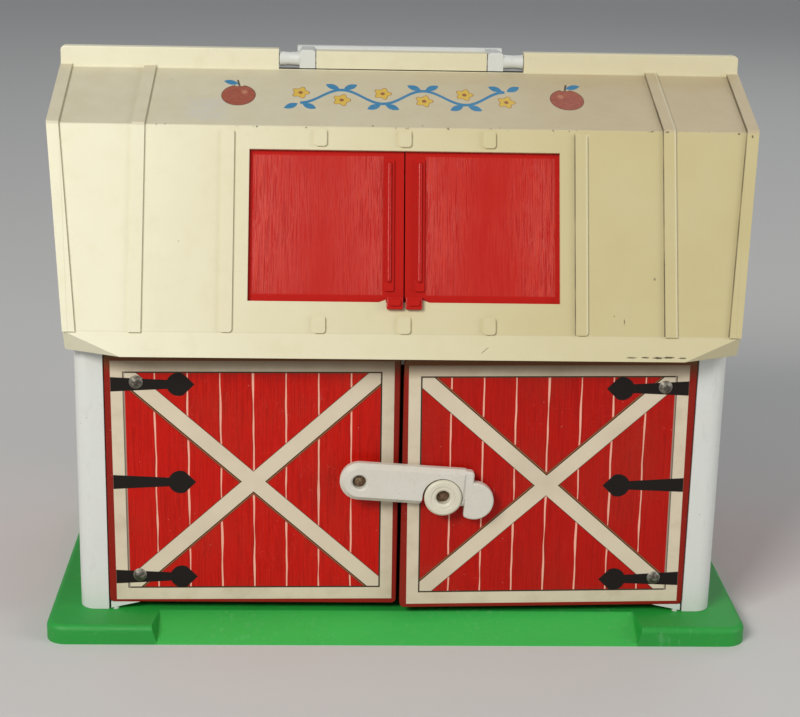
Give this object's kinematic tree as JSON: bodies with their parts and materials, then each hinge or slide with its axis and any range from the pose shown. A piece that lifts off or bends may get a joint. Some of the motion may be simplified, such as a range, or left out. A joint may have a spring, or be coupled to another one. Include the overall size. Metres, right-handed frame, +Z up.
{
  "type": "toy barn with opening doors",
  "caption": "Toy barn with a gambrel roof whose front half lifts, hinged hardboard doors held by a drop latch, sliding loft doors and a folding carrying handle",
  "frame": {"origin": "centre of the base plate's underside, on the surface it stands on", "axes": "X is the width, with the roof ridge along it; -Y is the front with the doors; Z is up"},
  "size_m": [0.341, 0.2252, 0.2731],
  "materials": {
    "base_green": "moulded, finely textured",
    "post_white": "smooth moulded",
    "roof_cream": "smooth moulded, scuffed edges",
    "loft_red": "glossy with moulded wood grain",
    "latch_white": "smooth moulded",
    "door_board": "printed and varnished hardboard",
    "wall_board": "printed and varnished hardboard",
    "loft_board": "bare hardboard",
    "rivet_steel": "dull, slightly tarnished",
    "screw_steel": "zinc plated"
  },
  "bodies": {
    "barn": {"base_plate": "base_green", "base_screws": "screw_steel", "front_left_post": "post_white", "front_right_post": "post_white", "rear_left_post": "post_white", "rear_right_post": "post_white", "front_header": "post_white", "left_gable_board": "wall_board", "right_gable_board": "wall_board", "back_board": "wall_board", "loft_floor": "loft_board", "back_roof": "roof_cream"},
    "front_roof": {"front_roof": "roof_cream", "lower_loft_track": "roof_cream", "upper_loft_track": "roof_cream"},
    "left_loft_door": {"left_loft_door": "loft_red"},
    "right_loft_door": {"right_loft_door": "loft_red"},
    "handle": {"handle": "latch_white"},
    "left_door": {"left_door": "door_board", "left_door_lower_bracket": "latch_white", "left_door_upper_bracket": "latch_white", "left_door_rivets": "rivet_steel", "latch_boss": "latch_white", "latch_rivet": "rivet_steel"},
    "right_door": {"right_door": "door_board", "right_door_lower_bracket": "latch_white", "right_door_upper_bracket": "latch_white", "right_door_rivets": "rivet_steel", "latch_catch": "latch_white", "catch_rivet": "rivet_steel"},
    "latch": {"latch_bar": "latch_white"}
  },
  "joints": [
    {"name": "left_door_hinge", "type": "hinge", "parent": "barn", "child": "left_door", "pos_m": [-0.1384, -0.0906, 0.0775], "axis": [0, 0, -1], "range_deg": [0, 110]},
    {"name": "right_door_hinge", "type": "hinge", "parent": "barn", "child": "right_door", "pos_m": [0.1384, -0.0906, 0.0775], "axis": [0, 0, 1], "range_deg": [-2.2, 107.8]},
    {"name": "latch_pivot", "type": "hinge", "parent": "left_door", "child": "latch", "pos_m": [-0.0198, -0.0984, 0.0806], "axis": [0, -1, 0], "range_deg": [0, 55]},
    {"name": "roof_hinge", "type": "hinge", "parent": "barn", "child": "front_roof", "pos_m": [0, 0, 0.268], "axis": [-1, 0, 0], "range_deg": [0, 75]},
    {"name": "handle_hinge", "type": "hinge", "parent": "barn", "child": "handle", "pos_m": [0, 0, 0.268], "axis": [1, 0, 0], "range_deg": [0, 88]},
    {"name": "left_loft_slide", "type": "slide", "parent": "front_roof", "child": "left_loft_door", "axis": [-1, 0, 0], "range_m": [0, 0.062]},
    {"name": "right_loft_slide", "type": "slide", "parent": "front_roof", "child": "right_loft_door", "axis": [1, 0, 0], "range_m": [0, 0.062]}
  ]
}
